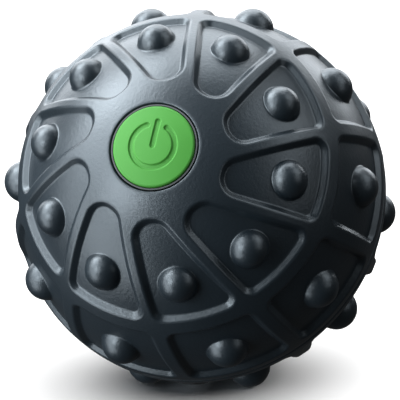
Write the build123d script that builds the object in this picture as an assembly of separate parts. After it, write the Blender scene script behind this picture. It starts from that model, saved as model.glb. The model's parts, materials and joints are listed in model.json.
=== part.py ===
"""Massage ball with a vibrating motor, as an assembly of separate sub-parts.

Everything is drawn in the ball's own frame: origin at the ball's centre, +Z out through the power
button, millimetres. The ball then turns into its rest pose: it lies between three nubs of its rear half,
with the button facing -Y and tilted upwards, and the floor is z = 0.
"""
import os
from math import asin, atan2, cos, degrees, radians, sin, sqrt

from build123d import *

# Ball
BODY_RADIUS = 46.0
SKIN_THICKNESS = 3.2
CASING_THICKNESS = 2.0
CASING_RADIUS = BODY_RADIUS - SKIN_THICKNESS
CAVITY_RADIUS = CASING_RADIUS - CASING_THICKNESS
SEAM_WIDTH = 0.5
GASKET_DEPTH = 1.6

# Nubs and panels, ten in each ring; polar angles are from the pole of each half
PANELS = 10
PITCH = 360 / PANELS
NUB_TIP_RADIUS = 48.3
INNER_NUB_RADIUS = 4.7
INNER_NUB_POLAR = 42.6
OUTER_NUB_RADIUS = 5.2
OUTER_NUB_POLAR = 74.0
INNER_NUB_LEAD = -7.9
PANEL_DEPTH = 1.4
# corners of a panel as (polar angle, azimuth from its own nub)
INNER_PANEL = ((22.0, -25.5), (22.0, -1.3), (54.0, 19.9), (54.0, -11.5))
OUTER_PANEL = ((60.0, -16.5), (60.0, 13.3), (86.0, 16.5), (86.0, -14.4))
INNER_PANEL_TIP_ROUND = 3.4
PANEL_CORNER_ROUND = 1.8

# Turn about X that lays the ball between two outer nubs and one inner nub of its rear half
REST_TILT = 62.1415

# Power button
BUTTON_HOLE_RADIUS = 10.7
RING_OUTER_RADIUS = 10.3
RING_INNER_RADIUS = 9.95
RING_TOP = 44.6
RING_FLANGE_RADIUS = 12.4
RING_FLANGE_TOP = 38.8
RING_FLANGE_THICKNESS = 1.2
CAP_RADIUS = 9.75
CAP_DOME_RADIUS = 46.2
CAP_THICKNESS = 2.6
BUTTON_TRAVEL = 0.8
STEM_RADIUS = 2.2
SYMBOL_RADIUS = 5.2
SYMBOL_STROKE = 1.2
SYMBOL_DEPTH = 0.4
SYMBOL_GAP_DEG = 54.0
SYMBOL_BAR_LENGTH = 6.5
SYMBOL_TURN = 82.6
CAP_RIM_ROUND = 0.6
SKIRT_THICKNESS = 1.2
HOOK_WIDTH = 3.2
HOOK_HEIGHT = 1.0

# Circuit board and push switch
BOARD_RADIUS = 19.5
BOARD_THICKNESS = 1.6
BOARD_BACK = 33.0
BOARD_FRONT = BOARD_BACK + BOARD_THICKNESS
BOARD_SCREW_CIRCLE = 16.5
BOARD_SCREW_START = 30
SWITCH_SIZE = 6.0
SWITCH_HEIGHT = 3.4
PLUNGER_RADIUS = 1.6
PLUNGER_TOP = 39.4
SWITCH_WELL = 0.8

# Motor, with its shaft along X
MOTOR_HEIGHT = 23.2
MOTOR_RADIUS = 10.2
MOTOR_FLAT = 15.4
MOTOR_WALL = 0.8
MOTOR_BACK = -16.0
MOTOR_FRONT = 9.0
END_CAP_THICKNESS = 3.0
SHAFT_RADIUS = 1.0
SHAFT_CLEARANCE = 0.04
SHAFT_END = 19.0
WEIGHT_RADIUS = 7.6
WEIGHT_HUB_RADIUS = 3.0
WEIGHT_START = 11.5
WEIGHT_LENGTH = 7.0
ARMATURE_RADIUS = 6.2
ARMATURE_START = -11.0
ARMATURE_LENGTH = 14.0
COMMUTATOR_RADIUS = 2.2
COMMUTATOR_LENGTH = 3.5
TERMINAL_OFFSET = 5.5

# Chassis: battery tube, motor saddle and ears
TUBE_RADIUS = 14.2
TUBE_BORE = 12.3
TUBE_MOUTH = -37.4
TUBE_END = 14.5
TUBE_WALL = 1.2
EAR_TOP = -31.2
EAR_THICKNESS = 1.8
EAR_CIRCLE = 17.2
EAR_START = 90
EAR_RADIUS = 2.6
SADDLE_WIDTH = 32.0
SADDLE_TOP = MOTOR_HEIGHT - 3.0
MOTOR_FIT = 0.02
CLAMP_MIDDLE = (MOTOR_BACK + MOTOR_FRONT) / 2
CLAMP_WIDTH = 8.0
CLAMP_THICKNESS = 0.9
CLAMP_SCREW_OFFSET = 13.6
CLAMP_FOOT_END = 15.8

# Batteries
CELL_RADIUS = 5.25
CELL_LENGTH = 43.7
CELL_TIP_RADIUS = 1.9
CELL_TIP = 0.8
CELL_OFFSET = 6.3
CARTRIDGE_RADIUS = 11.8
CARTRIDGE_START = -37.6
CARTRIDGE_DISC = 1.2
CONTACT_THICKNESS = 0.3
CELL_SPRING_LENGTH = 2.6
CARTRIDGE_END = (CARTRIDGE_START + 2 * CARTRIDGE_DISC + 2 * CONTACT_THICKNESS + CELL_SPRING_LENGTH
                 + CELL_LENGTH + CELL_TIP)
PLATE_RADIUS = 4.4
PAD_RADIUS = 1.9
PAD_THICKNESS = 1.0

# Battery cover, a bayonet cap at the rear pole
COVER_RADIUS = 13.4
COVER_HOLE_RADIUS = 13.8
NECK_BORE = 12.2
COVER_PLUG_RADIUS = 11.9
COVER_GAP = 0.3
NECK_LEDGE = -39.6
LUG_TOP = -39.4
LUG_THICKNESS = 1.4
LUG_RADIUS = 13.5
LUG_WIDTH_DEG = 18.0
COVER_TURN_DEG = 40.0
COIN_SLOT = (16.0, 2.0, 1.4)
SEAL_LOW = -40.9
SEAL_HEIGHT = 1.0
SEAL_GROOVE_RADIUS = COVER_PLUG_RADIUS - 0.9
COVER_FLOOR = -CASING_RADIUS + 0.4

# Screws: shank radius, shank length, head radius and head height of each size
CASING_SCREW = (1.1, 16.0, 2.4, 1.8)
BOARD_SCREW = (0.8, 5.6, 1.8, 1.3)
CHASSIS_SCREW = (0.8, 4.8, 1.8, 1.3)
SMALL_CLEARANCE_RADIUS = 1.1
SMALL_PILOT_DEPTH = 4.4
SMALL_POST_RADIUS = 2.4
SCREW_CIRCLE = 33.6
SCREW_START = 45
SCREW_HEAD_SEAT = -6.0
BOSS_RADIUS = 3.4

# Leads
LEAD_RADIUS = 0.6


def direction(polar, azimuth):
    """Unit vector at a polar angle from +Z and an azimuth from +X."""
    return Vector(
        sin(radians(polar)) * cos(radians(azimuth)),
        sin(radians(polar)) * sin(radians(azimuth)),
        cos(radians(polar)),
    )


def rest_location():
    """The turn and lift that lay the ball between three nubs of its rear half, on the ribs there."""
    return Location((0, 0, BODY_RADIUS), (REST_TILT, 0, 0))


def tube(outer, inner, low, high):
    """A ring about Z between two heights."""
    ring = Cylinder(outer, high - low, align=(Align.CENTER, Align.CENTER, Align.MIN))
    ring -= Cylinder(inner, high - low, align=(Align.CENTER, Align.CENTER, Align.MIN))
    return Pos(0, 0, low) * ring


def rod(radius, low, high):
    """A cylinder about Z between two heights."""
    return Pos(0, 0, low) * Cylinder(radius, high - low, align=(Align.CENTER, Align.CENTER, Align.MIN))


def rod_x(radius, low, high):
    """A cylinder along X at the motor's height."""
    return Pos(0, 0, MOTOR_HEIGHT) * Rot(0, 90, 0) * rod(radius, low, high)


def block(x, y, z):
    """A box given as its low and high values along each axis."""
    size = (x[1] - x[0], y[1] - y[0], z[1] - z[0])
    return Pos(x[0], y[0], z[0]) * Box(*size, align=(Align.MIN, Align.MIN, Align.MIN))


def ring_of(part, count, radius=0, start=0):
    """Copies of a part turned evenly about Z, each moved out to a radius."""
    return [Rot(0, 0, start + i * 360 / count) * Pos(radius, 0, 0) * part for i in range(count)]


def half_space(front):
    """The half of space in front of or behind the seam."""
    reach = 2 * BODY_RADIUS
    low = SEAM_WIDTH / 2 if front else -reach
    return block((-reach, reach), (-reach, reach), (low, low + reach - SEAM_WIDTH / 2))


# ---------------------------------------------------------------- skins

def off_axis(vertex):
    """How far a corner lies from the pole, as a number that grows with its polar angle."""
    return -Vector(*vertex).normalized().Z


def panel_face(corners, azimuth, height, tip_round):
    """The outline of a panel on a plane square to the panel's middle, seen from the ball's centre."""
    polar_mid = (corners[0][0] + corners[2][0]) / 2
    middle = direction(polar_mid, azimuth)

    def point(polar, turn):
        ray = direction(polar, azimuth + turn)
        return ray * (height / ray.dot(middle))

    (p0, a0), (_, a1), (p2, a2), (_, a3) = corners
    first, second, third, fourth = (point(*corner) for corner in corners)
    face = Face(Wire([
        Edge.make_three_point_arc(first, point(p0, (a0 + a1) / 2), second),
        Edge.make_line(second, third),
        Edge.make_three_point_arc(third, point(p2, (a2 + a3) / 2), fourth),
        Edge.make_line(fourth, first),
    ]))
    by_polar = face.vertices().sort_by(off_axis)
    scale_up = height / BODY_RADIUS
    face = face.fillet_2d(tip_round * scale_up, by_polar[:2])
    outer = face.vertices().sort_by(off_axis)[-2:]
    return face.fillet_2d(PANEL_CORNER_ROUND * scale_up, outer)


def panel_cutter(corners, azimuth, tip_round):
    """The solid that a panel takes out of the skin, with walls square to the ball."""
    inner = panel_face(corners, azimuth, 0.86 * BODY_RADIUS, tip_round)
    outer = panel_face(corners, azimuth, 1.1 * BODY_RADIUS, tip_round)
    cone = Solid.make_loft([inner.outer_wire(), outer.outer_wire()], ruled=True)
    return cone - Sphere(BODY_RADIUS - PANEL_DEPTH)


def nub(radius, polar, azimuth):
    """A round nub, sunk so far into the skin that every nub's tip is equally high."""
    return Pos(*(direction(polar, azimuth) * (NUB_TIP_RADIUS - radius))) * Sphere(radius)


def skin(hole_radius):
    """Half of the soft skin: panels, nubs and a round hole at the pole."""
    body = Sphere(BODY_RADIUS) & half_space(True)
    inner_cutter = panel_cutter(INNER_PANEL, INNER_NUB_LEAD, INNER_PANEL_TIP_ROUND)
    outer_cutter = panel_cutter(OUTER_PANEL, 0, PANEL_CORNER_ROUND)
    body -= ring_of(inner_cutter, PANELS)
    body -= ring_of(outer_cutter, PANELS)
    body += ring_of(nub(INNER_NUB_RADIUS, INNER_NUB_POLAR, INNER_NUB_LEAD), PANELS)
    body += ring_of(nub(OUTER_NUB_RADIUS, OUTER_NUB_POLAR, 0), PANELS)
    body -= Sphere(CASING_RADIUS)
    return body - rod(hole_radius, 0, 2 * BODY_RADIUS)


def front_skin():
    """The half with the power button."""
    return skin(BUTTON_HOLE_RADIUS)


def rear_skin():
    """The same moulding turned over about X, with a wider hole for the battery cover."""
    return Rot(180, 0, 0) * skin(COVER_HOLE_RADIUS)


def seam_gasket():
    """A flat rubber ring between the two halves, set back from the surface as a dark groove."""
    return tube(BODY_RADIUS - GASKET_DEPTH, CAVITY_RADIUS, -SEAM_WIDTH / 2, SEAM_WIDTH / 2)


# ---------------------------------------------------------------- casings

def casing_shell():
    """The hard shell of one half, before its bosses and holes."""
    return (Sphere(CASING_RADIUS) - Sphere(CAVITY_RADIUS)) & half_space(True)


def screw_bosses():
    """Four solid bosses beside the seam, inside the front half."""
    inside = Sphere(CASING_RADIUS) & half_space(True)
    bosses = ring_of(rod(BOSS_RADIUS, SEAM_WIDTH / 2, CAVITY_RADIUS), 4, SCREW_CIRCLE, SCREW_START)
    return [boss & inside for boss in bosses]


def front_casing():
    """Hard front half: screw bosses, board posts and the seat of the button's ring."""
    body = casing_shell()
    body += screw_bosses()
    seat = tube(RING_FLANGE_RADIUS + 1.0, RING_OUTER_RADIUS, RING_FLANGE_TOP, CAVITY_RADIUS)
    body += seat & Sphere(CASING_RADIUS)
    post = rod(SMALL_POST_RADIUS, BOARD_FRONT, CAVITY_RADIUS)
    posts = ring_of(post, 3, BOARD_SCREW_CIRCLE, BOARD_SCREW_START)
    body += [post & Sphere(CASING_RADIUS - 0.5) for post in posts]
    pilot = rod(BOARD_SCREW[0], 0, BOARD_FRONT + SMALL_PILOT_DEPTH)
    body -= ring_of(pilot, 3, BOARD_SCREW_CIRCLE, BOARD_SCREW_START)
    casing_pilot = rod(CASING_SCREW[0], 0, CASING_SCREW[1] + SCREW_HEAD_SEAT + 1.0)
    body -= ring_of(casing_pilot, 4, SCREW_CIRCLE, SCREW_START)
    return body - rod(RING_OUTER_RADIUS + 0.05, 30, BODY_RADIUS)


def rear_casing():
    """Hard rear half: counterbored screw bosses, chassis posts and the bayonet neck."""
    body = Rot(180, 0, 0) * casing_shell()
    body += [Rot(180, 0, 0) * boss for boss in screw_bosses()]
    body += tube(LUG_RADIUS + 1.9, NECK_BORE, -CASING_RADIUS, TUBE_MOUTH) & Sphere(CASING_RADIUS)
    ear_seat = EAR_TOP - EAR_THICKNESS
    posts = ring_of(rod(SMALL_POST_RADIUS, -CAVITY_RADIUS, ear_seat), 3, EAR_CIRCLE, EAR_START)
    body += [post & Sphere(CASING_RADIUS - 0.5) for post in posts]
    body -= ring_of(rod(CHASSIS_SCREW[0], ear_seat - 3.6, 0), 3, EAR_CIRCLE, EAR_START)
    body -= ring_of(rod(CASING_SCREW[0] + 0.3, -BODY_RADIUS, 0), 4, SCREW_CIRCLE, SCREW_START)
    counterbore = rod(CASING_SCREW[2] + 0.2, -BODY_RADIUS, SCREW_HEAD_SEAT)
    body -= ring_of(counterbore, 4, SCREW_CIRCLE, SCREW_START)
    body -= rod(NECK_BORE, -BODY_RADIUS, 0)
    body -= rod(LUG_RADIUS + COVER_GAP, NECK_LEDGE, 0)
    return body - lug_slots()


def lug_slots():
    """Three ways through the neck's ledge for the lugs of the cover once it is turned."""
    half_width = LUG_WIDTH_DEG / 2 + 2
    radius = LUG_RADIUS + COVER_GAP - 0.1
    return [sector(radius, half_width, -BODY_RADIUS, NECK_LEDGE + 1.0, COVER_TURN_DEG + 120 * i)
            for i in range(3)]


def sector(radius, half_width, low, high, azimuth):
    """A wedge of a disc about Z."""
    unaligned = (Align.NONE, Align.NONE, Align.NONE)
    wedge = Cylinder(radius, high - low, arc_size=2 * half_width, align=unaligned)
    return Rot(0, 0, azimuth - half_width) * Pos(0, 0, low) * wedge


def screw(shank_radius, shank_length, head_radius, head_height):
    """A cross-head screw along +Z with its head below z = 0."""
    body = rod(shank_radius, 0, shank_length) + rod(head_radius, -head_height, 0)
    reach = head_radius * 0.6
    cross = block((-reach, reach), (-0.25, 0.25), (-head_height, -head_height * 0.4))
    return body - cross - Rot(0, 0, 90) * cross


def casing_screws():
    """Four long screws that hold the halves together."""
    screws = ring_of(screw(*CASING_SCREW), 4, SCREW_CIRCLE, SCREW_START)
    return Compound(children=[Pos(0, 0, SCREW_HEAD_SEAT) * part for part in screws])


# ---------------------------------------------------------------- power button

def button_ring():
    """Thin trim ring that guides the cap, with a flange seated under the casing."""
    low = RING_FLANGE_TOP - RING_FLANGE_THICKNESS
    body = tube(RING_OUTER_RADIUS, RING_INNER_RADIUS, low, RING_TOP)
    return body + tube(RING_FLANGE_RADIUS, RING_INNER_RADIUS, low, RING_FLANGE_TOP)


def power_symbol():
    """Cutter for the open ring and bar of the power symbol."""
    low = BODY_RADIUS - 2.5
    high = BODY_RADIUS + 2
    half = SYMBOL_STROKE / 2
    ring = tube(SYMBOL_RADIUS + half, SYMBOL_RADIUS - half, low, high)
    ring -= sector(2 * SYMBOL_RADIUS, SYMBOL_GAP_DEG / 2, low, high, 0)
    bar = block((0, SYMBOL_BAR_LENGTH), (-half, half), (low, high))
    floor = Sphere(CAP_DOME_RADIUS - SYMBOL_DEPTH)
    return Rot(0, 0, SYMBOL_TURN) * (ring + bar - floor)


def domed_disc(radius, dome_radius, low, rim_round):
    """A disc about Z with a domed top centred on the ball and a rounded rim."""
    rim_height = sqrt(dome_radius ** 2 - radius ** 2)
    halfway = asin(radius / dome_radius) / 2
    bottom = Vector(0, 0, low)
    corner = Vector(radius, 0, low)
    rim = Vector(radius, 0, rim_height)
    crown = Vector(0, 0, dome_radius)
    shoulder = Vector(dome_radius * sin(halfway), 0, dome_radius * cos(halfway))
    face = Face(Wire([
        Edge.make_line(bottom, corner),
        Edge.make_line(corner, rim),
        Edge.make_three_point_arc(rim, shoulder, crown),
        Edge.make_line(crown, bottom),
    ]))
    rim_corner = face.vertices().sort_by(Axis.X)[-2:].sort_by(Axis.Z)[-1:]
    return Part() + revolve(face.fillet_2d(rim_round, rim_corner), Axis.Z)


def button_cap():
    """Domed green cap with an engraved symbol, a stem for the switch and three clips."""
    underside = BODY_RADIUS - CAP_THICKNESS
    skirt_low = underside - 3.0
    skirt_inner = CAP_RADIUS - SKIRT_THICKNESS
    body = domed_disc(CAP_RADIUS, CAP_DOME_RADIUS, underside - 1.0, CAP_RIM_ROUND)
    body -= power_symbol()
    body += tube(CAP_RADIUS, skirt_inner, skirt_low, underside)
    body += rod(STEM_RADIUS, PLUNGER_TOP, underside)
    hook_top = RING_FLANGE_TOP - RING_FLANGE_THICKNESS - 0.1
    hook_low = hook_top - HOOK_HEIGHT
    across = (-HOOK_WIDTH / 2, HOOK_WIDTH / 2)
    leg = block((skirt_inner, CAP_RADIUS - 0.1), across, (hook_low, skirt_low + 0.5))
    hook = block((skirt_inner, CAP_RADIUS + 0.9), across, (hook_low, hook_top))
    return body + ring_of(leg + hook, 3, start=90)


# ---------------------------------------------------------------- circuit board

def circuit_board():
    """Round board with its three screw holes."""
    body = rod(BOARD_RADIUS, BOARD_BACK, BOARD_FRONT)
    hole = rod(SMALL_CLEARANCE_RADIUS, BOARD_BACK, BOARD_FRONT)
    return body - ring_of(hole, 3, BOARD_SCREW_CIRCLE, BOARD_SCREW_START)


def board_screws():
    """Three screws from the back of the board into the front casing's posts."""
    screws = ring_of(screw(*BOARD_SCREW), 3, BOARD_SCREW_CIRCLE, BOARD_SCREW_START)
    return Compound(children=[Pos(0, 0, BOARD_BACK) * part for part in screws])


def board_components():
    """Transistor, capacitor and resistors on the front of the board."""
    transistor = block((-15.5, -12.5), (-8.0, -6.6), (BOARD_FRONT, BOARD_FRONT + 1.1))
    capacitor = Pos(13.0, -8.0, 0) * rod(2.0, BOARD_FRONT, BOARD_FRONT + 1.0)
    resistor_height = (BOARD_FRONT, BOARD_FRONT + 0.6)
    resistors = [block((x, x + 2.0), (8.5, 9.7), resistor_height) for x in (-8, -4, 2, 6)]
    return Compound(children=[transistor, capacitor] + resistors)


def switch_body():
    """Square push switch with a well for its plunger."""
    half = SWITCH_SIZE / 2
    top = BOARD_FRONT + SWITCH_HEIGHT
    body = block((-half, half), (-half, half), (BOARD_FRONT, top))
    return body - rod(PLUNGER_RADIUS + 0.08, BOARD_FRONT + SWITCH_WELL, top)


def switch_plunger():
    """The switch's moving pin, with room below it for its travel."""
    return rod(PLUNGER_RADIUS, BOARD_FRONT + SWITCH_WELL + BUTTON_TRAVEL + 0.2, PLUNGER_TOP)


# ---------------------------------------------------------------- motor

def motor_profile(radius, flat, low, high):
    """A round bar along X with a flat above and below."""
    slab = block((low, high), (-radius, radius), (MOTOR_HEIGHT - flat / 2, MOTOR_HEIGHT + flat / 2))
    return rod_x(radius, low, high) & slab


def motor_can():
    """Steel can with a bearing boss on its front."""
    body = motor_profile(MOTOR_RADIUS, MOTOR_FLAT, MOTOR_BACK, MOTOR_FRONT)
    body -= motor_profile(MOTOR_RADIUS - MOTOR_WALL, MOTOR_FLAT - 2 * MOTOR_WALL,
                          MOTOR_BACK, MOTOR_FRONT - MOTOR_WALL)
    body += rod_x(3.0, MOTOR_FRONT - 2.0, MOTOR_FRONT + 1.5)
    return body - rod_x(SHAFT_RADIUS + SHAFT_CLEARANCE, MOTOR_FRONT - 3.0, MOTOR_FRONT + 3.0)


def motor_end_cap():
    """Plastic end cap with the rear bearing."""
    body = motor_profile(MOTOR_RADIUS, MOTOR_FLAT, MOTOR_BACK - END_CAP_THICKNESS, MOTOR_BACK)
    return body - rod_x(SHAFT_RADIUS + SHAFT_CLEARANCE, MOTOR_BACK - END_CAP_THICKNESS, MOTOR_BACK)


def motor_terminals():
    """Two flat tabs on the end cap."""
    low = MOTOR_BACK - END_CAP_THICKNESS
    tab = block((low - 2.5, low), (-1.0, 1.0), (MOTOR_HEIGHT + 4.0, MOTOR_HEIGHT + 4.4))
    return Compound(children=[Pos(0, side * TERMINAL_OFFSET, 0) * tab for side in (-1, 1)])


def motor_magnets():
    """Two curved magnets against the can's round sides."""
    outer = MOTOR_RADIUS - MOTOR_WALL
    inner = ARMATURE_RADIUS + 0.5
    ring = rod_x(outer, ARMATURE_START, ARMATURE_START + ARMATURE_LENGTH)
    ring -= rod_x(inner, ARMATURE_START, ARMATURE_START + ARMATURE_LENGTH)
    sides = [block((-BODY_RADIUS, BODY_RADIUS), span, (MOTOR_HEIGHT - 5.0, MOTOR_HEIGHT + 5.0))
             for span in ((-outer, -2.0), (2.0, outer))]
    return Compound(children=[ring & side for side in sides])


def motor_armature():
    """Three-pole iron core on the shaft."""
    end = ARMATURE_START + ARMATURE_LENGTH
    body = rod_x(ARMATURE_RADIUS, ARMATURE_START, end)
    slot_height = (MOTOR_HEIGHT + 2.6, MOTOR_HEIGHT + ARMATURE_RADIUS + 1)
    slot = block((ARMATURE_START, end), (-0.6, 0.6), slot_height)
    axle = Axis((0, 0, MOTOR_HEIGHT), (1, 0, 0))
    body -= [slot.rotate(axle, 60 + 120 * i) for i in range(3)]
    return body - rod_x(SHAFT_RADIUS, ARMATURE_START, end)


def motor_commutator():
    """Copper drum on the shaft, inside the end cap."""
    start = MOTOR_BACK + 0.5
    end = start + COMMUTATOR_LENGTH
    return rod_x(COMMUTATOR_RADIUS, start, end) - rod_x(SHAFT_RADIUS, start, end)


def motor_shaft():
    """The shaft, through the motor and the eccentric weight."""
    return rod_x(SHAFT_RADIUS, MOTOR_BACK - END_CAP_THICKNESS + 0.3, SHAFT_END)


def eccentric_weight():
    """Heavy half disc on a hub, hanging below the shaft when the ball is at rest."""
    end = WEIGHT_START + WEIGHT_LENGTH
    body = rod_x(WEIGHT_RADIUS, WEIGHT_START, end)
    body &= block((WEIGHT_START, end), (-WEIGHT_RADIUS, WEIGHT_RADIUS),
                  (MOTOR_HEIGHT - WEIGHT_RADIUS, MOTOR_HEIGHT))
    body += rod_x(WEIGHT_HUB_RADIUS, WEIGHT_START, end)
    body -= rod_x(SHAFT_RADIUS, WEIGHT_START, end)
    hang = -rest_location().orientation.X
    return body.rotate(Axis((0, 0, MOTOR_HEIGHT), (1, 0, 0)), hang)


# ---------------------------------------------------------------- chassis

def chassis():
    """Battery tube with a closed end, a saddle for the motor and three ears for screws."""
    body = rod(TUBE_RADIUS, TUBE_MOUTH + 0.1, TUBE_END)
    body += block((MOTOR_BACK + 2, MOTOR_FRONT - 2), (-SADDLE_WIDTH / 2, SADDLE_WIDTH / 2),
                  (TUBE_END - 1.0, SADDLE_TOP))
    body -= motor_profile(MOTOR_RADIUS + MOTOR_FIT, MOTOR_FLAT + 2 * MOTOR_FIT, -BODY_RADIUS, BODY_RADIUS)
    body -= rod(TUBE_BORE, TUBE_MOUTH, TUBE_END - TUBE_WALL)
    ear_low = EAR_TOP - EAR_THICKNESS
    web = block((TUBE_BORE + 0.5, EAR_CIRCLE), (-EAR_RADIUS, EAR_RADIUS), (ear_low, EAR_TOP))
    body += ring_of(rod(EAR_RADIUS, ear_low, EAR_TOP), 3, EAR_CIRCLE, EAR_START)
    body += ring_of(web, 3, start=EAR_START)
    body -= ring_of(rod(SMALL_CLEARANCE_RADIUS, ear_low, EAR_TOP), 3, EAR_CIRCLE, EAR_START)
    pilot = rod(CHASSIS_SCREW[0], SADDLE_TOP - SMALL_PILOT_DEPTH, MOTOR_HEIGHT)
    return body - [Pos(CLAMP_MIDDLE, side * CLAMP_SCREW_OFFSET, 0) * pilot for side in (-1, 1)]


def chassis_screws():
    """Three screws through the chassis's ears into the rear casing's posts."""
    down = Rot(180, 0, 0) * screw(*CHASSIS_SCREW)
    screws = ring_of(down, 3, EAR_CIRCLE, EAR_START)
    return Compound(children=[Pos(0, 0, EAR_TOP) * part for part in screws])


def motor_clamp():
    """Steel strap over the motor with a foot on each side of the saddle."""
    x_span = (CLAMP_MIDDLE - CLAMP_WIDTH / 2, CLAMP_MIDDLE + CLAMP_WIDTH / 2)
    foot_top = SADDLE_TOP + CLAMP_THICKNESS
    body = motor_profile(MOTOR_RADIUS + CLAMP_THICKNESS, MOTOR_FLAT + 2 * CLAMP_THICKNESS, *x_span)
    body &= block(x_span, (-BODY_RADIUS, BODY_RADIUS), (SADDLE_TOP, BODY_RADIUS))
    body -= motor_profile(MOTOR_RADIUS + MOTOR_FIT, MOTOR_FLAT + 2 * MOTOR_FIT, *x_span)
    hole = rod(CHASSIS_SCREW[0] + 0.2, SADDLE_TOP, foot_top)
    for side in (-1, 1):
        near, far = sorted((side * (MOTOR_RADIUS + 0.1), side * CLAMP_FOOT_END))
        foot = block(x_span, (near, far), (SADDLE_TOP, foot_top))
        body += foot - Pos(CLAMP_MIDDLE, side * CLAMP_SCREW_OFFSET, 0) * hole
    return body


def clamp_screws():
    """Two screws through the clamp's feet."""
    down = Rot(180, 0, 0) * screw(*CHASSIS_SCREW)
    seat = SADDLE_TOP + CLAMP_THICKNESS
    return Compound(children=[Pos(CLAMP_MIDDLE, side * CLAMP_SCREW_OFFSET, seat) * down
                              for side in (-1, 1)])


# ---------------------------------------------------------------- batteries

def battery_cartridge():
    """Plastic holder: two end discs on a spine between the three cells."""
    body = rod(CARTRIDGE_RADIUS, CARTRIDGE_START, CARTRIDGE_END)
    low = CARTRIDGE_START + CARTRIDGE_DISC
    high = CARTRIDGE_END - CARTRIDGE_DISC
    body -= ring_of(rod(CELL_RADIUS + 0.1, low, high), 3, CELL_OFFSET)
    body -= tube(2 * CARTRIDGE_RADIUS, CARTRIDGE_RADIUS - 2.6, low, high)
    pole_hole = rod(2.0, CARTRIDGE_START, CARTRIDGE_END)
    return body - (pole_hole - rod(2.0, low, high))


def battery_cell():
    """One AAA cell, lying along Z with its tip up."""
    low = CARTRIDGE_START + CARTRIDGE_DISC + CONTACT_THICKNESS + CELL_SPRING_LENGTH
    body = rod(CELL_RADIUS, low, low + CELL_LENGTH)
    body = fillet(body.edges().filter_by(GeomType.CIRCLE), 0.4)
    return body + rod(CELL_TIP_RADIUS, low, low + CELL_LENGTH + CELL_TIP)


def battery_cells():
    """The three cells, each a separate node."""
    return ring_of(battery_cell(), 3, CELL_OFFSET)


def cartridge_contacts():
    """Plated discs at the cells' ends and a pad at each pole of the cartridge."""
    low = CARTRIDGE_START + CARTRIDGE_DISC
    high = CARTRIDGE_END - CARTRIDGE_DISC - CONTACT_THICKNESS
    plates = ring_of(rod(PLATE_RADIUS, low, low + CONTACT_THICKNESS), 3, CELL_OFFSET)
    plates += ring_of(rod(PLATE_RADIUS, high, high + CONTACT_THICKNESS), 3, CELL_OFFSET)
    pads = [rod(PAD_RADIUS, start, start + PAD_THICKNESS)
            for start in (CARTRIDGE_START, CARTRIDGE_END - PAD_THICKNESS)]
    return Compound(children=plates + pads)


def coil(radius_low, radius_high, wire_radius, low, high, turns):
    """A wire spring about Z, conical where its two radii differ."""
    height = high - low - 2 * wire_radius
    cone = degrees(atan2(radius_high - radius_low, high - low))
    path = Pos(0, 0, low + wire_radius) * Helix(height / turns, height, radius_low, cone_angle=cone)
    section = Plane(origin=path @ 0, z_dir=path % 0) * Circle(wire_radius)
    return sweep(section, path=path, is_frenet=True)


def cell_springs():
    """A conical spring under each cell."""
    low = CARTRIDGE_START + CARTRIDGE_DISC + CONTACT_THICKNESS
    spring = coil(3.2, 2.2, 0.25, low, low + CELL_SPRING_LENGTH, 2.5)
    return Compound(children=ring_of(spring, 3, CELL_OFFSET))


def tube_contact():
    """Plated pad on the closed end of the battery tube."""
    return rod(4.0, CARTRIDGE_END, TUBE_END - TUBE_WALL)


# ---------------------------------------------------------------- battery cover

def battery_cover():
    """Bayonet cap, flush with the ball, with a coin slot and three lugs."""
    body = rod(COVER_RADIUS, -BODY_RADIUS - 1, -CAVITY_RADIUS + 5) & Sphere(BODY_RADIUS)
    body -= Sphere(CASING_RADIUS + COVER_GAP)
    body += rod(COVER_PLUG_RADIUS, -CASING_RADIUS - 1.5, LUG_TOP + LUG_THICKNESS) & Sphere(BODY_RADIUS)
    body += [sector(LUG_RADIUS, LUG_WIDTH_DEG / 2, LUG_TOP, LUG_TOP + LUG_THICKNESS, 120 * i)
             for i in range(3)]
    body -= rod(COVER_PLUG_RADIUS - 1.9, COVER_FLOOR, 0)
    body -= tube(COVER_PLUG_RADIUS + 1, SEAL_GROOVE_RADIUS, SEAL_LOW, SEAL_LOW + SEAL_HEIGHT)
    length, width, depth = COIN_SLOT
    slot = block((-length / 2, length / 2), (-width / 2, width / 2), (-BODY_RADIUS, -BODY_RADIUS + depth))
    return body - slot


def battery_seal():
    """O-ring in the cover's groove."""
    section = tube(NECK_BORE - 0.05, SEAL_GROOVE_RADIUS, SEAL_LOW + 0.02, SEAL_LOW + SEAL_HEIGHT - 0.02)
    return fillet(section.edges().filter_by(GeomType.CIRCLE), 0.35)


def cover_spring():
    """Spring on the cover that presses on the cartridge's pad."""
    return coil(3.4, 3.4, 0.3, COVER_FLOOR, CARTRIDGE_START, 3)


# ---------------------------------------------------------------- leads

def lead(points, bend):
    """An insulated wire along straight runs and arcs."""
    path = FilletPolyline(*points, radius=bend)
    section = Plane(origin=path @ 0, z_dir=path % 0) * Circle(LEAD_RADIUS)
    return sweep(section, path=path)


def motor_leads():
    """From the motor's tabs up to the back of the board."""
    start_x = MOTOR_BACK - END_CAP_THICKNESS - 1.6
    height = MOTOR_HEIGHT + 4.4
    run = BOARD_BACK - 1.4
    return Compound(children=[
        lead([(start_x, y, height), (start_x, y, run), (-13.0, y, run), (-13.0, y, BOARD_BACK)], bend=1.0)
        for y in (-TERMINAL_OFFSET, TERMINAL_OFFSET)
    ])


def battery_leads():
    """From the tube's closed end and its side up to the back of the board."""
    return Compound(children=[
        lead([(-2.0, side * 14.8, -8.0), (-2.0, side * 19.5, -2.0), (-2.0, side * 19.5, 28.0),
              (-2.0, side * 15.0, BOARD_BACK - 1.5), (-2.0, side * 15.0, BOARD_BACK)], bend=1.2)
        for side in (-1, 1)
    ])


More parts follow.
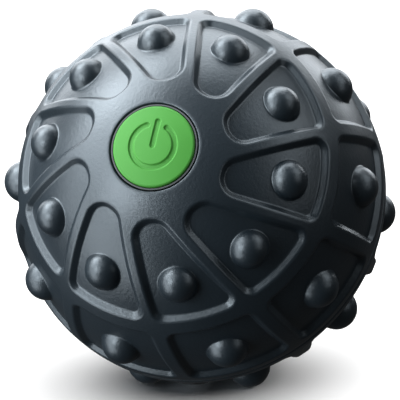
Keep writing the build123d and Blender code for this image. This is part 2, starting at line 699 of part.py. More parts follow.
def sub_parts():
    """Every sub-part by name, in the ball's own frame."""
    parts = {
        "front_skin": front_skin(),
        "rear_skin": rear_skin(),
        "seam_gasket": seam_gasket(),
        "front_casing": front_casing(),
        "rear_casing": rear_casing(),
        "casing_screws": casing_screws(),
        "button_ring": button_ring(),
        "button_cap": button_cap(),
        "circuit_board": circuit_board(),
        "board_screws": board_screws(),
        "board_components": board_components(),
        "switch_body": switch_body(),
        "switch_plunger": switch_plunger(),
        "motor_can": motor_can(),
        "motor_end_cap": motor_end_cap(),
        "motor_terminals": motor_terminals(),
        "motor_magnets": motor_magnets(),
        "motor_armature": motor_armature(),
        "motor_commutator": motor_commutator(),
        "motor_shaft": motor_shaft(),
        "eccentric_weight": eccentric_weight(),
        "chassis": chassis(),
        "chassis_screws": chassis_screws(),
        "motor_clamp": motor_clamp(),
        "clamp_screws": clamp_screws(),
        "battery_cartridge": battery_cartridge(),
        "cartridge_contacts": cartridge_contacts(),
        "cell_springs": cell_springs(),
        "tube_contact": tube_contact(),
        "battery_cover": battery_cover(),
        "battery_seal": battery_seal(),
        "cover_spring": cover_spring(),
        "motor_leads": motor_leads(),
        "battery_leads": battery_leads(),
    }
    for number, cell in enumerate(battery_cells(), 1):
        parts[f"battery_cell_{number}"] = cell
    return parts


def main():
    """Writes each sub-part, in the rest pose, as one STEP file."""
    os.makedirs("parts", exist_ok=True)
    rest = rest_location()
    for name, part in sub_parts().items():
        solids = [rest * solid for solid in part.solids()]
        export_step(Compound(solids), f"parts/{name}.step")


main()
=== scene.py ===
import json
from math import acos, atan2, ceil, cos, pi, radians, sin, sqrt, tan

import bmesh
import bpy
import numpy as np
from mathutils import Matrix, Vector
from mathutils.geometry import delaunay_2d_cdt


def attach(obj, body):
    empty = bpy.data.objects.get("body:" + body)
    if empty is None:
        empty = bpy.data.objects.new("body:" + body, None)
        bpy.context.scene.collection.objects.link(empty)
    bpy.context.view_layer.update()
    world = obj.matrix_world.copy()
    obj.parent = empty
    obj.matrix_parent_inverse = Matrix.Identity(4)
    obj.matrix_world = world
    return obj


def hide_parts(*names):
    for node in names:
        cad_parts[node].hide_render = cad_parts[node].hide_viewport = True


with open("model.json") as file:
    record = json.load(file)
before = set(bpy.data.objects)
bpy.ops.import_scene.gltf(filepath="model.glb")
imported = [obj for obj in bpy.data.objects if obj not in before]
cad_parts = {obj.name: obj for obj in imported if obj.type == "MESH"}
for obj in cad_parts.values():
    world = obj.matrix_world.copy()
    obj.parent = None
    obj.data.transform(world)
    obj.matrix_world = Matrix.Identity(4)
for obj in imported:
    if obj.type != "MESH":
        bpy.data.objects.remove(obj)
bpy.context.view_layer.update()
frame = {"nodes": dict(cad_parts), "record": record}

# Millimetres and degrees, in the ball's own frame: origin at its centre, Z out through the button.
MM = 0.001
BODY = 46.0
CASING = 42.8
HALF_SEAM = 0.25
COUNT = 10
PITCH = 2 * pi / COUNT

# Panels: corners as (polar angle, azimuth from the inner nub), corner rounds, and the depth and shape of
# their walls. SUPPORT is the narrow margin kept smooth beside a wall, and on the floor a share of it.
NUB_SHIFT = 7.9
INNER_CORNERS = ((22.0, -25.5), (22.0, -1.3), (54.0, 19.9), (54.0, -11.5))
OUTER_CORNERS = ((60.0, -8.6), (60.0, 21.2), (86.0, 24.4), (86.0, -6.5))
INNER_ROUNDS = (4.2, 4.2, 2.3, 2.3)
OUTER_ROUNDS = (2.1, 2.1, 2.1, 2.1)
DEPTH = 1.4
WALL_TOP_ROUND = 1.0
WALL_FOOT_ROUND = 0.7
WALL_SLOPE = radians(50)
WALL_STEPS = 6
SUPPORT = 0.22
FLOOR_SUPPORT_SHARE = 0.6
PANEL_STEP = 0.95
ARC_STEPS = 9
ARC_FINENESS = 2.2

# Nubs: all tips are equally far from the ball's centre; each ring as (polar angle, azimuth, radius)
NUB_TIP = 48.3
NUB_FOOT_ROUND = 0.5
INNER_NUB = (42.6, 0.0, 4.7)
OUTER_NUB = (74.0, NUB_SHIFT, 5.2)
NUB_SIDES = 40
NUB_TIP_STEPS = 11
NUB_FOOT_STEPS = 6
NUB_FOOT_MARGIN = 0.3

# The hub's outer ring, where the ribs begin, and the azimuth of the first rib line there
HUB_POLAR = 18.8
HUB_AZIMUTH = -34.9
RIB_SAMPLES = 12
RIB_POINTS = 46
RIM_STEPS = 22

# Points inside the flat stretches: their spacing, the rows' closeness, and the gap to any edge
GRID = 1.7
GRID_ROW = 0.866
CLEAR = 0.8

# Rounded edges of the holes and the seam, and the rings of the hub and of the skin's inside
EDGE_ROUND = 0.38
EDGE_STEPS = 4
HUB_RINGS = 8
LINING_STEPS = 16

# Holes at the poles
BUTTON_HOLE = 10.55
COVER_HOLE = 13.8


def joint(name):
    return next(j for j in frame["record"]["behaviour"]["joints"] if j["name"] == name)


# The battery cover turns about the ball's own axis, so its joint gives the ball's centre and that axis
CENTRE = Vector(joint("cover_turn")["pos_m"])
AXIS = Vector(joint("cover_turn")["axis"]).normalized()
SIDE = Vector((1, 0, 0))


def ball_frame():
    """From the ball's own frame, in millimetres, to the row's frame, in metres."""
    turn = Matrix((SIDE, AXIS.cross(SIDE), AXIS)).transposed().to_4x4()
    return Matrix.Translation(CENTRE) @ turn @ Matrix.Scale(MM, 4)


def make_mesh(name, points, faces, body, materials):
    """A smooth mesh piece that rides on a body."""
    mesh = bpy.data.meshes.new(name)
    mesh.from_pydata([tuple(p) for p in points], [], faces)
    mesh.transform(ball_frame())
    bm = bmesh.new()
    bm.from_mesh(mesh)
    bmesh.ops.remove_doubles(bm, verts=bm.verts, dist=1e-7)
    bmesh.ops.recalc_face_normals(bm, faces=bm.faces)
    bm.to_mesh(mesh)
    bm.free()
    mesh.shade_smooth()
    piece = bpy.data.objects.new(name, mesh)
    bpy.context.collection.objects.link(piece)
    for material in materials:
        mesh.materials.append(material)
    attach(piece, body)
    return piece


# ---------------------------------------------------------------- shapes on the sphere

def ray(polar, azimuth):
    """Unit vector; angles in radians."""
    return np.array((sin(polar) * cos(azimuth), sin(polar) * sin(azimuth), cos(polar)))


def unit(v):
    return v / np.linalg.norm(v)


def turn_about(axis, start, angle):
    """Points at a turn from start about an axis that start is square to."""
    return start * cos(angle) + np.cross(axis, start) * sin(angle)


class Panel:
    """A four-sided outline with rounded corners: two sides along circles about the pole, and two
    along great circles. Its rings are the outline moved inwards by any distance."""

    def __init__(self, corners, rounds, step):
        self.corners = [(radians(p), radians(a)) for p, a in corners]
        self.rounds = [r / BODY for r in rounds]
        rays = [ray(*c) for c in self.corners]
        middle = unit(sum(rays))
        self.sides = {}
        for side, (a, b) in {1: (1, 2), 3: (3, 0)}.items():
            normal = unit(np.cross(rays[a], rays[b]))
            self.sides[side] = normal * np.sign(normal @ middle)
        self.inner = self.corners[0][0]
        self.outer = self.corners[2][0]
        self.centres = [self.corner_centre(i) for i in range(4)]
        turns = [acos(np.clip(self.centres[i] @ self.centres[(i + 1) % 4], -1, 1)) for i in range(4)]
        lengths = [BODY * turn for turn in turns]
        self.steps = [max(2, ceil(length / step)) for length in lengths]
        self.arc_steps = [max(ARC_STEPS, ceil(ARC_FINENESS * r * BODY / step)) for r in self.rounds]

    def corner_centre(self, i):
        polar, azimuth = self.corners[i]
        r = self.rounds[i]
        polar = polar + r if i < 2 else polar - r
        normal = self.sides[1 if i in (1, 2) else 3]
        reach = np.hypot(normal[0], normal[1])
        heading = atan2(normal[1], normal[0])
        swing = acos(np.clip((sin(r) - normal[2] * cos(polar)) / (sin(polar) * reach), -1, 1))
        choices = [heading + swing, heading - swing]
        gap = [abs((c - azimuth + pi) % (2 * pi) - pi) for c in choices]
        return ray(polar, choices[int(np.argmin(gap))])

    def foot(self, side, centre, inset):
        """The point of a side beside a corner's centre, with the side moved inwards."""
        if side in self.sides:
            normal = self.sides[side]
            on_side = unit(centre - (centre @ normal) * normal)
            return on_side * cos(inset) + normal * sin(inset)
        polar = self.inner + inset if side == 0 else self.outer - inset
        return ray(polar, atan2(centre[1], centre[0]))

    def ring(self, inset_mm):
        """The outline moved inwards, as a closed list of unit vectors, the same count every time."""
        inset = inset_mm / BODY
        points = []
        for side in range(4):
            first, last = self.centres[side], self.centres[(side + 1) % 4]
            start, end = self.foot(side, first, inset), self.foot(side, last, inset)
            for k in range(self.steps[side]):
                share = k / self.steps[side]
                between = unit(first * (1 - share) + last * share)
                points.append(self.foot(side, between, inset) if side in self.sides
                              else self.on_circle(start, end, share))
            points += self.corner((side + 1) % 4, end, inset)
        return np.array(points)

    @staticmethod
    def on_circle(start, end, share):
        polar = acos(start[2])
        a, b = atan2(start[1], start[0]), atan2(end[1], end[0])
        return ray(polar, a + ((b - a + pi) % (2 * pi) - pi) * share)

    def corner(self, i, start, inset):
        centre = self.centres[i]
        end = self.foot(i, centre, inset)
        radius = self.rounds[i] - inset
        a = unit(start - (start @ centre) * centre)
        b = unit(end - (end @ centre) * centre)
        sweep = atan2(np.cross(a, b) @ centre, a @ b)
        steps = self.arc_steps[i]
        return [centre * cos(radius) + turn_about(centre, a, sweep * k / steps) * sin(radius)
                for k in range(steps)]


def wall_profile():
    """(inset, height) down a panel's wall: rib, rounded edge, slope, rounded foot, floor."""
    a = WALL_SLOPE
    drop = DEPTH - (WALL_TOP_ROUND + WALL_FOOT_ROUND) * (1 - cos(a))
    half = ((WALL_TOP_ROUND + WALL_FOOT_ROUND) * sin(a) + drop / tan(a)) / 2
    turns = [a * k / WALL_STEPS for k in range(WALL_STEPS + 1)]
    top = [(-half + WALL_TOP_ROUND * sin(t), -WALL_TOP_ROUND * (1 - cos(t))) for t in turns]
    foot = [(half - WALL_FOOT_ROUND * sin(t), -DEPTH + WALL_FOOT_ROUND * (1 - cos(t))) for t in turns[::-1]]
    return [(-half - SUPPORT, 0.0)] + top + foot + [(half + SUPPORT * FLOOR_SUPPORT_SHARE, -DEPTH)]


def nub_profile(nub):
    """(angle from the nub's middle, distance from the ball's centre), from the tip to the floor."""
    floor = BODY - DEPTH
    centre = NUB_TIP - nub
    reach = nub + NUB_FOOT_ROUND
    foot = floor + NUB_FOOT_ROUND
    spread = acos((foot ** 2 + centre ** 2 - reach ** 2) / (2 * foot * centre))
    across, along = foot * sin(spread), foot * cos(spread) - centre
    touch = atan2(across, along)
    turns = [touch * k / NUB_TIP_STEPS for k in range(1, NUB_TIP_STEPS + 1)]
    points = [(nub * sin(turn), centre + nub * cos(turn)) for turn in turns]
    start = atan2(-across, -along)
    end = atan2(-sin(spread), -cos(spread))
    sweep = (end - start + pi) % (2 * pi) - pi
    for k in range(1, NUB_FOOT_STEPS + 1):
        angle = start + sweep * k / NUB_FOOT_STEPS
        height = foot * cos(spread) + NUB_FOOT_ROUND * cos(angle)
        points.append((across + NUB_FOOT_ROUND * sin(angle), height))
    rings = [(atan2(x, y), sqrt(x * x + y * y)) for x, y in points]
    return rings + [(rings[-1][0] + NUB_FOOT_MARGIN / BODY, floor)]


# ---------------------------------------------------------------- the skin

class Build:
    """Points and faces under construction."""

    def __init__(self):
        self.points = []
        self.faces = []

    def add(self, rays, radius):
        first = len(self.points)
        self.points += list(np.asarray(rays) * radius)
        return list(range(first, len(self.points)))

    def strip(self, a, b, closed=True):
        count = len(a)
        for k in range(count if closed else count - 1):
            n = (k + 1) % count
            self.faces.append((a[k], a[n], b[n], b[k]))

    def fan(self, centre, ring):
        for k in range(len(ring)):
            self.faces.append((centre, ring[k], ring[(k + 1) % len(ring)]))

    def fill(self, loops, radius):
        """Triangles between an outer loop and the loops inside it, on a sphere."""
        flat = [np.array([chart(self.points[i]) for i in loop]) for loop in loops]
        bounds = np.vstack(flat)
        inside = [p for p in grid_points(flat[0])
                  if in_loop(p, flat[0]) and not any(in_loop(p, hole) for hole in flat[1:])
                  and np.min(np.hypot(*(bounds - p).T)) > CLEAR]
        fresh = self.add([unchart(p) for p in inside], radius) if inside else []
        index = [i for loop in loops for i in loop] + fresh
        flat_points = [Vector(p) for p in bounds] + [Vector(p) for p in inside]
        edges, start = [], 0
        for loop in loops:
            edges += [(start + k, start + (k + 1) % len(loop)) for k in range(len(loop))]
            start += len(loop)
        out = delaunay_2d_cdt(flat_points, edges, [], 0, 1e-6)
        points, triangles, origin = out[0], out[2], out[3]
        for triangle in triangles:
            middle = np.array(sum((points[i] for i in triangle), Vector((0, 0))) / 3)
            if in_loop(middle, flat[0]) and not any(in_loop(middle, hole) for hole in flat[1:]):
                self.faces.append(tuple(index[origin[i][0]] for i in triangle))


def chart(point):
    """A point as flat coordinates in millimetres round the pole, true along meridians."""
    polar = acos(np.clip(point[2] / np.linalg.norm(point), -1, 1))
    azimuth = atan2(point[1], point[0])
    return np.array((polar * cos(azimuth), polar * sin(azimuth))) * BODY


def unchart(p):
    return ray(np.hypot(*p) / BODY, atan2(p[1], p[0]))


def grid_points(loop):
    """Hexagonal grid over a loop's extent."""
    low, high = loop.min(axis=0), loop.max(axis=0)
    rows = int((high[1] - low[1]) / (GRID * GRID_ROW)) + 1
    columns = int((high[0] - low[0]) / GRID) + 1
    return [np.array((low[0] + (c + 0.5 * (r % 2)) * GRID, low[1] + r * GRID * GRID_ROW))
            for r in range(rows) for c in range(columns)]


def in_loop(p, loop):
    x, y = loop[:, 0], loop[:, 1]
    x2, y2 = np.roll(x, -1), np.roll(y, -1)
    crosses = (y > p[1]) != (y2 > p[1])
    with np.errstate(divide="ignore", invalid="ignore"):
        at = (x2 - x) * (p[1] - y) / (y2 - y) + x
    return bool(np.count_nonzero(crosses & (p[0] < at)) % 2)


def side_azimuth(normal, polar, near):
    """Azimuth at which a great circle crosses a polar angle, the crossing nearest to one given."""
    reach = np.hypot(normal[0], normal[1])
    heading = atan2(normal[1], normal[0])
    swing = acos(np.clip(-normal[2] * cos(polar) / (sin(polar) * reach), -1, 1))
    return min((heading + swing, heading - swing), key=lambda a: abs((a - near + pi) % (2 * pi) - pi))


def rib_line(panels):
    """Unit vectors along the middle of the rib between one tenth's panels and the tenth before."""
    polars, azimuths = [radians(HUB_POLAR)], [radians(HUB_AZIMUTH)]
    for panel in panels:
        (low_a, low_b), (high_a, high_b) = [(panel.corners[a][1], panel.corners[b][1])
                                            for a, b in ((0, 3), (1, 2))]
        for share in np.linspace(0, 1, RIB_SAMPLES):
            polar = panel.inner + (panel.outer - panel.inner) * share
            low = side_azimuth(panel.sides[3], polar, low_a + (low_b - low_a) * share)
            high = side_azimuth(panel.sides[1], polar, high_a + (high_b - high_a) * share)
            polars.append(polar)
            azimuths.append((low + high - PITCH) / 2)
    last = pi / 2 - (HALF_SEAM + EDGE_ROUND) / BODY
    slope = (azimuths[-1] - azimuths[-2]) / (polars[-1] - polars[-2])
    azimuths.append(azimuths[-1] + slope * (last - polars[-1]))
    polars.append(last)
    return [ray(p, np.interp(p, polars, azimuths)) for p in np.linspace(polars[0], last, RIB_POINTS)]


def skin_tenth():
    """One tenth of the skin's outside, with the index of its two cut edges and its two rims."""
    build = Build()
    kinds = ((Panel(INNER_CORNERS, INNER_ROUNDS, PANEL_STEP), INNER_NUB),
             (Panel(OUTER_CORNERS, OUTER_ROUNDS, PANEL_STEP), OUTER_NUB))
    left_rays = rib_line([panel for panel, _ in kinds])
    left = build.add(left_rays, BODY)
    turn = np.array(((cos(PITCH), -sin(PITCH), 0), (sin(PITCH), cos(PITCH), 0), (0, 0, 1)))
    right = build.add([turn @ r for r in left_rays], BODY)

    def rim(start):
        polar, azimuth = acos(start[2]), atan2(start[1], start[0])
        return [ray(polar, azimuth + PITCH * k / RIM_STEPS) for k in range(1, RIM_STEPS)]

    hub = build.add(rim(left_rays[0]), BODY)
    seam = build.add(rim(left_rays[-1]), BODY)
    holes = []
    for panel, (nub_polar, nub_azimuth, nub) in kinds:
        rings = [build.add(panel.ring(inset), BODY + height) for inset, height in wall_profile()]
        for a, b in zip(rings, rings[1:]):
            build.strip(a, b)
        holes.append(rings[0])
        foot = add_nub(build, ray(radians(nub_polar), radians(nub_azimuth)), nub)
        build.fill([rings[-1], foot], BODY - DEPTH)
    outline = left + seam + right[::-1] + hub[::-1]
    build.fill([outline] + holes, BODY)
    return build, left, right, [left[0]] + hub, [left[-1]] + seam


def add_nub(build, middle, nub):
    """A nub's rings round its middle; returns the ring where it meets the floor."""
    across = unit(np.cross(middle, np.array((0.0, 0.0, 1.0))))
    profile = nub_profile(nub)
    tip = build.add([middle], NUB_TIP)[0]
    rings = []
    for angle, radius in profile:
        rays = [middle * cos(angle) + turn_about(middle, across, 2 * pi * k / NUB_SIDES) * sin(angle)
                for k in range(NUB_SIDES)]
        rings.append(build.add(rays, radius))
    build.fan(tip, rings[0])
    for a, b in zip(rings, rings[1:]):
        build.strip(a, b)
    return rings[-1]


def skin_points(tenth, hole_radius):
    """A whole half skin, closed: outside, hole, inside and seam face."""
    build, left, right, hub, seam = tenth
    count = len(build.points)
    swap = dict(zip(right, left))
    whole = Build()
    points = np.array(build.points)
    for k in range(COUNT):
        angle = PITCH * k
        turn = np.array(((cos(angle), -sin(angle), 0), (sin(angle), cos(angle), 0), (0, 0, 1)))
        whole.points += list(points @ turn.T)
    for k in range(COUNT):
        here, after = k * count, (k + 1) % COUNT * count
        for face in build.faces:
            whole.faces.append(tuple(after + swap[i] if i in swap else here + i for i in face))
    hub_ring = [k * count + i for k in range(COUNT) for i in hub]
    seam_ring = [k * count + i for k in range(COUNT) for i in seam]
    inside_hub = close_hub(whole, hub_ring, hole_radius)
    inside_seam = close_seam(whole, seam_ring)
    line_inside(whole, inside_hub, inside_seam)
    return whole


def circle(azimuths, radius, height):
    """Points on a circle about Z, as vectors with a length."""
    return [np.array((radius * cos(a), radius * sin(a), height)) for a in azimuths]


def azimuths_of(whole, ring):
    return [atan2(whole.points[i][1], whole.points[i][0]) for i in ring]


def close_hub(whole, ring, hole_radius):
    """From the hub's outer ring to the hole's rounded edge and down to the casing."""
    azimuths = azimuths_of(whole, ring)
    outer = np.hypot(*whole.points[ring[0]][:2])
    edge_start = hole_radius + EDGE_ROUND
    for radius in np.linspace(outer, edge_start, HUB_RINGS)[1:]:
        height = sqrt(BODY ** 2 - radius ** 2)
        ring = step_to(whole, ring, circle(azimuths, radius, height))
    height = sqrt(BODY ** 2 - edge_start ** 2) - EDGE_ROUND
    for k in range(1, EDGE_STEPS + 1):
        turn = pi / 2 * k / EDGE_STEPS
        ring = step_to(whole, ring, circle(azimuths, edge_start - EDGE_ROUND * sin(turn),
                                           height + EDGE_ROUND * cos(turn)))
    return step_to(whole, ring, circle(azimuths, hole_radius, sqrt(CASING ** 2 - hole_radius ** 2)))


def close_seam(whole, ring):
    """From the last ring of the outside over a rounded edge to the casing, along the seam."""
    azimuths = azimuths_of(whole, ring)
    for k in range(1, EDGE_STEPS + 1):
        turn = pi / 2 * k / EDGE_STEPS
        radius = BODY - EDGE_ROUND * (1 - cos(turn))
        ring = step_to(whole, ring, circle(azimuths, radius, HALF_SEAM + EDGE_ROUND * (1 - sin(turn))))
    return step_to(whole, ring, circle(azimuths, sqrt(CASING ** 2 - HALF_SEAM ** 2), HALF_SEAM))


def line_inside(whole, hub_ring, seam_ring):
    """The skin's inside, a plain sphere against the casing."""
    start, end = whole.points[hub_ring[0]], whole.points[seam_ring[0]]
    first, last = acos(start[2] / np.linalg.norm(start)), acos(end[2] / np.linalg.norm(end))
    a, b = azimuths_of(whole, hub_ring), azimuths_of(whole, seam_ring)
    ring = hub_ring
    for k in range(1, LINING_STEPS):
        share = k / LINING_STEPS
        polar = first + (last - first) * share
        rays = [ray(polar, x + ((y - x + pi) % (2 * pi) - pi) * share) for x, y in zip(a, b)]
        ring = step_to(whole, ring, [r * CASING for r in rays])
    whole.strip(ring, seam_ring)


def step_to(whole, ring, points):
    """Adds a ring of points and the strip up to it."""
    fresh = whole.add(points, 1.0)
    whole.strip(ring, fresh)
    return fresh


def make_skins(material):
    """Both half skins; the rear one is the same moulding turned over about X, with a wider hole."""
    tenth = skin_tenth()
    lead = radians(NUB_SHIFT)
    back = np.array(((cos(lead), sin(lead), 0), (-sin(lead), cos(lead), 0), (0, 0, 1)))
    for name, node, hole, flip in (("front_skin_soft", "front_skin", BUTTON_HOLE, 1),
                                   ("rear_skin_soft", "rear_skin", COVER_HOLE, -1)):
        whole = skin_points(tenth, hole)
        points = np.array(whole.points) @ back.T
        points[:, 1:] *= flip
        piece = make_mesh(name, points, whole.faces, "ball", [material])
        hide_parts(node)


# ---------------------------------------------------------------- materials

# Colour sockets of the mix node
MIX_A, MIX_B, MIX_RESULT = 6, 7, 2


def new_material(name):
    material = bpy.data.materials.new(name)
    material.use_nodes = True
    nodes, links = material.node_tree.nodes, material.node_tree.links
    return material, nodes, links, nodes["Principled BSDF"]


def mottled(name, dark, light, scale, rough, rough_spread, grain, grain_scale, metallic=0.0, specular=0.5):
    """A moulded or metal surface: slow colour drift, uneven gloss and a fine grain, its depth in mm."""
    material, nodes, links, shader = new_material(name)
    shader.inputs["Metallic"].default_value = metallic
    shader.inputs["Specular IOR Level"].default_value = specular
    where = nodes.new("ShaderNodeTexCoord")
    slow = nodes.new("ShaderNodeTexNoise")
    slow.inputs["Scale"].default_value = scale
    slow.inputs["Detail"].default_value = 4.0
    links.new(where.outputs["Object"], slow.inputs["Vector"])
    tint = nodes.new("ShaderNodeMix")
    tint.data_type = "RGBA"
    tint.inputs[MIX_A].default_value = (*dark, 1)
    tint.inputs[MIX_B].default_value = (*light, 1)
    links.new(slow.outputs["Fac"], tint.inputs[0])
    links.new(tint.outputs[MIX_RESULT], shader.inputs["Base Color"])
    gloss = nodes.new("ShaderNodeMapRange")
    gloss.inputs["To Min"].default_value = rough - rough_spread
    gloss.inputs["To Max"].default_value = rough + rough_spread
    links.new(slow.outputs["Fac"], gloss.inputs["Value"])
    links.new(gloss.outputs["Result"], shader.inputs["Roughness"])
    fine = nodes.new("ShaderNodeTexNoise")
    fine.inputs["Scale"].default_value = grain_scale
    fine.inputs["Detail"].default_value = 3.0
    links.new(where.outputs["Object"], fine.inputs["Vector"])
    bump = nodes.new("ShaderNodeBump")
    bump.inputs["Strength"].default_value = 1.0
    bump.inputs["Distance"].default_value = grain * MM
    links.new(fine.outputs["Fac"], bump.inputs["Height"])
    links.new(bump.outputs["Normal"], shader.inputs["Normal"])
    return material


def skin_material():
    """Dark blue-grey soft-touch elastomer, satin, with a fine uneven grain."""
    material = mottled("soft_touch_elastomer", (0.0045, 0.0075, 0.0100), (0.0075, 0.0118, 0.0155),
                       60.0, 0.37, 0.03, grain=0.05, grain_scale=1300.0, specular=0.55)
    shader = material.node_tree.nodes["Principled BSDF"]
    shader.inputs["Specular Tint"].default_value = (0.86, 0.95, 1.0, 1)
    return material


def button_material():
    """Satin green plastic."""
    return mottled("green_plastic", (0.031, 0.158, 0.018), (0.040, 0.185, 0.025),
                   90.0, 0.56, 0.03, grain=0.006, grain_scale=1800.0, specular=0.2)


# ---------------------------------------------------------------- button

CAP_RADIUS = 9.75
CAP_DOME = 46.2
CAP_ROUND = 0.6
SYMBOL_RADIUS = 5.2
SYMBOL_STROKE = 1.2
SYMBOL_DEPTH = 0.4
SYMBOL_EDGE = 0.28
SYMBOL_GAP = radians(54.0)
SYMBOL_BAR = 6.5
SYMBOL_TURN = radians(82.6)
CAP_FOOT = 40.4
CAP_UNDERSIDE = 43.4
SKIRT = 1.2
STEM_RADIUS = 2.2
STEM_END = 39.4
CAP_SIDES = 288
CAP_RINGS = 76
CAP_ROUND_STEPS = 6


def symbol_depth(x, y):
    """How deep the engraved open ring and bar are at a point of the cap."""
    across = x * cos(-SYMBOL_TURN) - y * sin(-SYMBOL_TURN)
    aside = x * sin(-SYMBOL_TURN) + y * cos(-SYMBOL_TURN)
    angle = abs(atan2(aside, across))
    if angle > SYMBOL_GAP / 2:
        ring = abs(sqrt(x * x + y * y) - SYMBOL_RADIUS)
    else:
        end = (SYMBOL_RADIUS * cos(SYMBOL_GAP / 2), SYMBOL_RADIUS * sin(SYMBOL_GAP / 2))
        ring = sqrt((across - end[0]) ** 2 + (abs(aside) - end[1]) ** 2)
    beyond = max(0.0, -across, across - SYMBOL_BAR + SYMBOL_STROKE / 2)
    bar = sqrt(beyond ** 2 + aside ** 2)
    inset = SYMBOL_STROKE / 2 - min(ring, bar)
    share = min(1.0, max(0.0, (inset + SYMBOL_EDGE / 2) / SYMBOL_EDGE))
    return SYMBOL_DEPTH * share * share * (3 - 2 * share)


def make_cap(material):
    """Domed cap with a soft engraved symbol, a rounded rim, a skirt and a stem."""
    build = Build()
    azimuths = [2 * pi * k / CAP_SIDES for k in range(CAP_SIDES)]
    rim_start = CAP_RADIUS - CAP_ROUND
    tip = build.add([np.array((0, 0, CAP_DOME - symbol_depth(0.0, 0.0)))], 1.0)[0]
    ring = None
    for radius in np.linspace(0, rim_start, CAP_RINGS)[1:]:
        points = []
        for a in azimuths:
            x, y = radius * cos(a), radius * sin(a)
            points.append(np.array((x, y, sqrt(CAP_DOME ** 2 - radius ** 2) - symbol_depth(x, y))))
        fresh = build.add(points, 1.0)
        if ring is None:
            build.fan(tip, fresh)
        else:
            build.strip(ring, fresh)
        ring = fresh
    height = sqrt(CAP_DOME ** 2 - rim_start ** 2) - CAP_ROUND
    for k in range(1, CAP_ROUND_STEPS + 1):
        turn = pi / 2 * k / CAP_ROUND_STEPS
        ring = step_to(build, ring, circle(azimuths, rim_start + CAP_ROUND * sin(turn),
                                           height + CAP_ROUND * cos(turn)))
    skirt_inside = CAP_RADIUS - SKIRT
    for radius, z in ((CAP_RADIUS, CAP_FOOT), (skirt_inside, CAP_FOOT), (skirt_inside, CAP_UNDERSIDE),
                      (STEM_RADIUS, CAP_UNDERSIDE), (STEM_RADIUS, STEM_END)):
        ring = step_to(build, ring, circle(azimuths, radius, z))
    build.fan(build.add([np.array((0, 0, STEM_END))], 1.0)[0], ring)
    piece = make_mesh("button_cap_domed", build.points, build.faces, "button", [material])
    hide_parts("button_cap")


# ---------------------------------------------------------------- stage

CAMERA_AZIMUTH = 14.95
CAMERA_ELEVATION = 12.60
CAMERA_ROLL = -2.30
CAMERA_DISTANCE = 0.6734
CAMERA_LENS = 246.4
CAMERA_SHIFT = (-0.0005, -0.0068)

# Softboxes: name, degrees from the camera's side, degrees up, size in metres, watts; all equally far away
SOFT_BOX_DISTANCE = 0.9
SOFT_BOXES = (
    ("key_left", -48, 14, 0.38, 7.4),
    ("high_left", -82, 38, 0.6, 11.0),
    ("over_left", -40, 44, 0.45, 2.4),
    ("low_right", 60, 16, 0.42, 0.9),
    ("high_right", 80, 44, 0.55, 3.0),
    ("back_top", 180, 62, 0.7, 10.5),
    ("back_low", 180, 26, 0.6, 3.4),
    ("back_left", -150, 24, 0.5, 3.2),
    ("side_top", -108, 56, 0.5, 12.0),
    ("side_low", -82, 6, 0.42, 2.6),
    ("back_right", 145, 22, 0.42, 2.8),
    ("bounce_left", -62, -20, 0.6, 6.5),
)
SOFT_BOX_COLOUR = (0.90, 0.95, 1.0)
AMBIENT = 0.05
FLOOR_LIGHT = 6.5
FLOOR_LIGHT_SPREAD = 120.0
FLOOR_LIGHT_FALL = (-0.12, -0.05, -1.0)


def make_camera():
    """A long lens, a little above the button's height and to its right."""
    azimuth, elevation = radians(CAMERA_AZIMUTH), radians(CAMERA_ELEVATION)
    back = Vector((sin(azimuth) * cos(elevation), -cos(azimuth) * cos(elevation), sin(elevation)))
    data = bpy.data.cameras.new("camera")
    data.lens = CAMERA_LENS
    data.sensor_width = 36.0
    data.shift_x, data.shift_y = CAMERA_SHIFT
    data.clip_start, data.clip_end = 0.01, 50.0
    camera = bpy.data.objects.new("camera", data)
    camera.rotation_mode = "QUATERNION"
    look = (-back).to_track_quat("-Z", "Y").to_matrix() @ Matrix.Rotation(radians(CAMERA_ROLL), 3, "Z")
    camera.rotation_quaternion = look.to_quaternion()
    camera.location = CENTRE + back * CAMERA_DISTANCE
    bpy.context.collection.objects.link(camera)
    bpy.context.scene.camera = camera


def studio_place(azimuth, elevation, distance):
    """A point round the ball's centre, by degrees from the camera's side and above the floor."""
    turn, rise = radians(CAMERA_AZIMUTH + azimuth), radians(elevation)
    return distance * Vector((sin(turn) * cos(rise), -cos(turn) * cos(rise), sin(rise)))


def soft_box(name, azimuth, elevation, size, power, not_on):
    """A square softbox that faces the ball and leaves the floor to its own light."""
    data = bpy.data.lights.new(name, "AREA")
    data.shape = "SQUARE"
    data.size = size
    data.energy = power
    data.color = SOFT_BOX_COLOUR
    light = bpy.data.objects.new(name, data)
    place = studio_place(azimuth, elevation, SOFT_BOX_DISTANCE)
    light.location = CENTRE + place
    light.rotation_mode = "QUATERNION"
    light.rotation_quaternion = (-place).to_track_quat("-Z", "Y")
    light.light_linking.receiver_collection = not_on
    bpy.context.collection.objects.link(light)


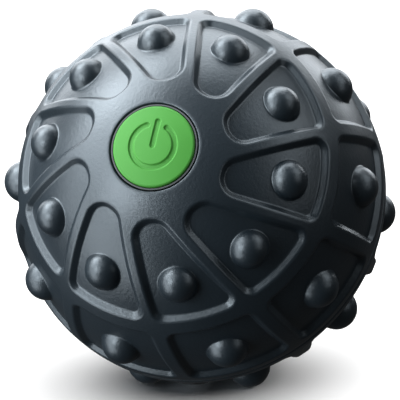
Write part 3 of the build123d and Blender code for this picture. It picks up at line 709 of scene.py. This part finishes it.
def make_floor():
    """A pale floor, lit from above by its own wide light."""
    mesh = bpy.data.meshes.new("floor")
    reach = 6.0
    mesh.from_pydata([(-reach, -reach, 0), (reach, -reach, 0), (reach, reach, 0), (-reach, reach, 0)],
                     [], [(0, 1, 2, 3)])
    floor = bpy.data.objects.new("floor", mesh)
    bpy.context.collection.objects.link(floor)
    material, nodes, links, shader = new_material("pale_floor")
    shader.inputs["Base Color"].default_value = (0.9, 0.9, 0.9, 1)
    shader.inputs["Roughness"].default_value = 0.9
    shader.inputs["Specular IOR Level"].default_value = 0.0
    mesh.materials.append(material)
    floor.visible_diffuse = False
    floor.visible_glossy = False
    floor.visible_shadow = False
    data = bpy.data.lights.new("floor_light", "SUN")
    data.energy = FLOOR_LIGHT
    data.angle = radians(FLOOR_LIGHT_SPREAD)
    light = bpy.data.objects.new("floor_light", data)
    light.rotation_mode = "QUATERNION"
    light.rotation_quaternion = Vector(FLOOR_LIGHT_FALL).to_track_quat("-Z", "Y")
    only = bpy.data.collections.new("floor_only")
    only.objects.link(floor)
    light.light_linking.receiver_collection = only
    bpy.context.collection.objects.link(light)
    return floor


def make_world():
    """White behind the object, dim all round it."""
    world = bpy.data.worlds.new("studio")
    bpy.context.scene.world = world
    world.use_nodes = True
    nodes, links = world.node_tree.nodes, world.node_tree.links
    seen = nodes["Background"]
    dim = nodes.new("ShaderNodeBackground")
    mix = nodes.new("ShaderNodeMixShader")
    seen.inputs["Color"].default_value = (1, 1, 1, 1)
    dim.inputs["Color"].default_value = (1, 1, 1, 1)
    dim.inputs["Strength"].default_value = AMBIENT
    path = nodes.new("ShaderNodeLightPath")
    links.new(path.outputs["Is Camera Ray"], mix.inputs[0])
    links.new(dim.outputs[0], mix.inputs[1])
    links.new(seen.outputs[0], mix.inputs[2])
    links.new(mix.outputs[0], nodes["World Output"].inputs["Surface"])


def make_stage():
    """Floor, softboxes that pass the floor by, and the surroundings."""
    floor = make_floor()
    not_floor = bpy.data.collections.new("not_floor")
    not_floor.objects.link(floor)
    not_floor.collection_objects[0].light_linking.link_state = "EXCLUDE"
    for box in SOFT_BOXES:
        soft_box(*box, not_floor)
    make_world()


# Inner parts and trim by material slot: dark colour, light colour, drift scale, roughness, its spread,
# grain depth in millimetres, grain scale, metallic
SURFACES = {
    "black_rubber": ((0.008, 0.008, 0.009), (0.014, 0.014, 0.015), 80.0, 0.62, 0.06, 0.010, 1500.0, 0),
    "casing_plastic": ((0.024, 0.025, 0.027), (0.034, 0.035, 0.038), 50.0, 0.50, 0.05, 0.008, 1800.0, 0),
    "trim_plastic": ((0.012, 0.015, 0.016), (0.018, 0.022, 0.023), 120.0, 0.56, 0.04, 0.004, 2400.0, 0),
    "board_laminate": ((0.010, 0.075, 0.030), (0.018, 0.110, 0.046), 160.0, 0.35, 0.05, 0.006, 1400.0, 0),
    "component_plastic": ((0.014, 0.014, 0.015), (0.026, 0.026, 0.027), 140.0, 0.48, 0.05, 0.006, 2600.0, 0),
    "chassis_plastic": ((0.46, 0.46, 0.44), (0.56, 0.56, 0.53), 45.0, 0.46, 0.05, 0.008, 1700.0, 0),
    "cover_plastic": ((0.012, 0.016, 0.020), (0.019, 0.024, 0.029), 70.0, 0.44, 0.05, 0.014, 2200.0, 0),
    "steel": ((0.44, 0.44, 0.45), (0.60, 0.60, 0.62), 260.0, 0.34, 0.08, 0.004, 3200.0, 1),
    "plated_steel": ((0.54, 0.52, 0.49), (0.68, 0.66, 0.62), 180.0, 0.26, 0.06, 0.003, 2800.0, 1),
    "core_iron": ((0.16, 0.16, 0.17), (0.26, 0.26, 0.27), 300.0, 0.48, 0.08, 0.008, 1900.0, 1),
    "magnet_ferrite": ((0.040, 0.040, 0.044), (0.070, 0.070, 0.076), 220.0, 0.66, 0.06, 0.012, 1600.0, 0),
    "contact_brass": ((0.58, 0.45, 0.20), (0.74, 0.61, 0.32), 200.0, 0.30, 0.06, 0.004, 2700.0, 1),
    "weight_metal": ((0.22, 0.22, 0.23), (0.34, 0.34, 0.35), 240.0, 0.52, 0.08, 0.014, 1500.0, 1),
    "cell_jacket": ((0.070, 0.085, 0.120), (0.110, 0.130, 0.170), 60.0, 0.32, 0.05, 0.004, 2100.0, 0),
    "lead_insulation": ((0.34, 0.020, 0.020), (0.50, 0.040, 0.036), 150.0, 0.42, 0.05, 0.005, 2000.0, 0),
}


def dress_nodes(replaced):
    """A surface for every node that is shown as it is in the model."""
    made = {}
    for part in frame["record"]["subparts"]:
        if part["node"] in replaced:
            continue
        slot = part["material_slot"]
        if slot not in made:
            dark, light, scale, rough, spread, grain, grain_scale, metallic = SURFACES[slot]
            made[slot] = mottled(slot, dark, light, scale, rough, spread, grain, grain_scale, metallic)
        node = frame["nodes"][part["node"]]
        if not node.material_slots:
            node.data.materials.append(made[slot])
        for place in node.material_slots:
            place.material = made[slot]


bpy.context.scene.view_settings.view_transform = "Standard"
make_camera()
make_stage()
make_skins(skin_material())
make_cap(button_material())
dress_nodes(("front_skin", "rear_skin", "button_cap"))
